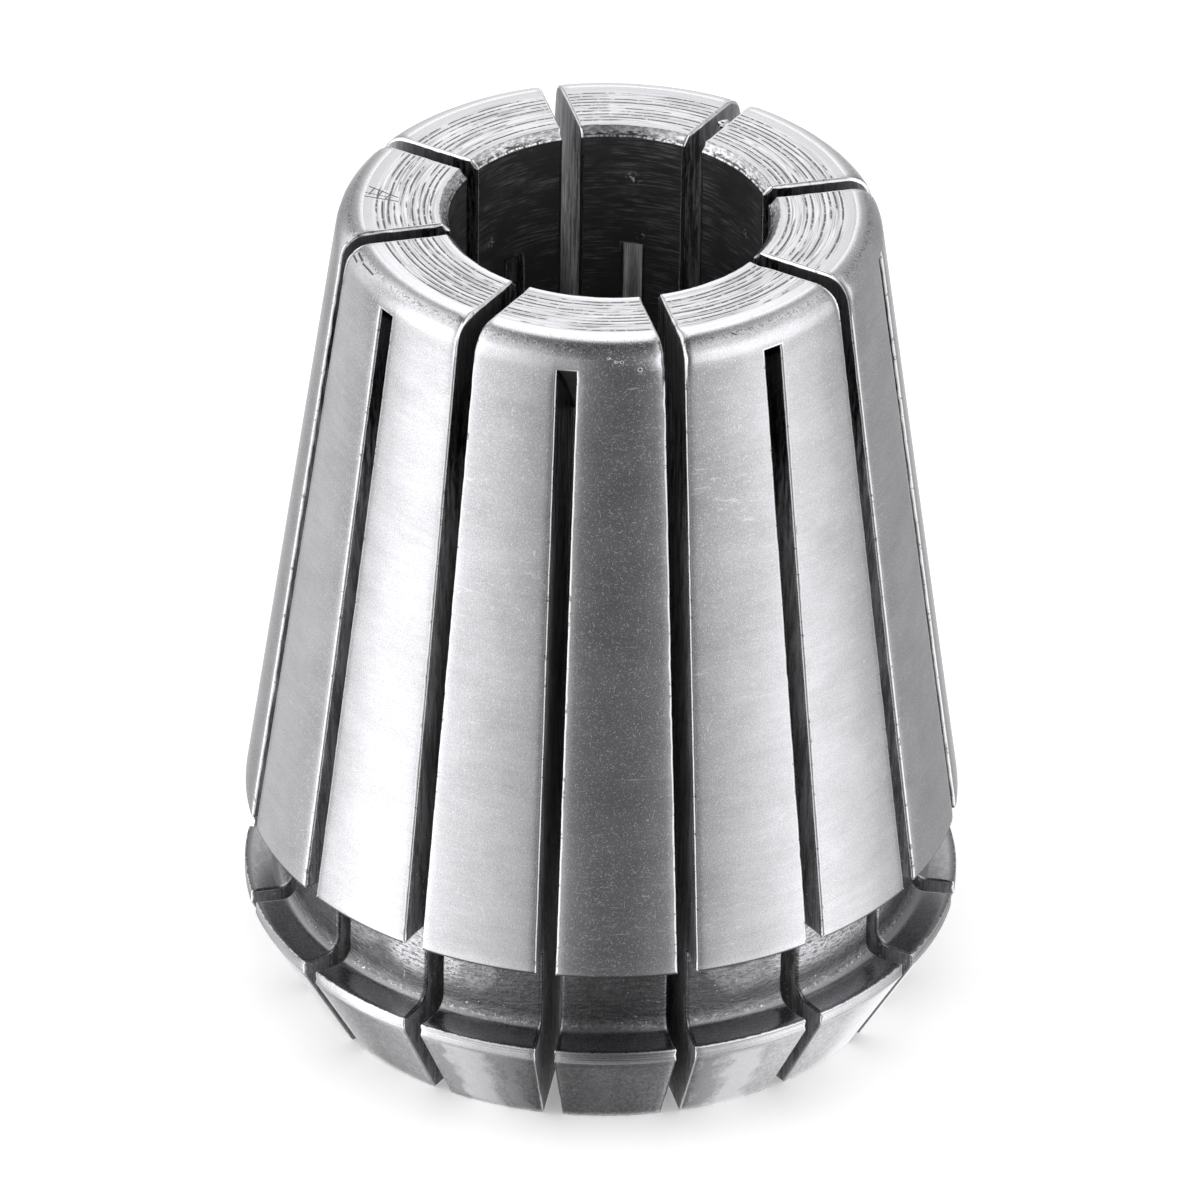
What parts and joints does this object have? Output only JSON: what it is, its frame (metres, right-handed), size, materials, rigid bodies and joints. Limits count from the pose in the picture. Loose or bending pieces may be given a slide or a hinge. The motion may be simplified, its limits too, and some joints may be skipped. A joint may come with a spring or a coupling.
{
  "type": "er collet",
  "caption": "Slotted spring collet for tool shanks: ground clamping taper, groove for the nut's ring and conical nose, closing on a straight bore.",
  "frame": {"origin": "centre of the nose face, which the collet stands on", "axes": "+Z along the bore from the nose to the small end, -Y through the middle of a slot cut from the nose end"},
  "size_m": [0.033, 0.033, 0.04],
  "materials": {
    "spring_steel": "satin ground and turned steel"
  },
  "bodies": {
    "root": {"collet": "spring_steel"}
  },
  "joints": []
}
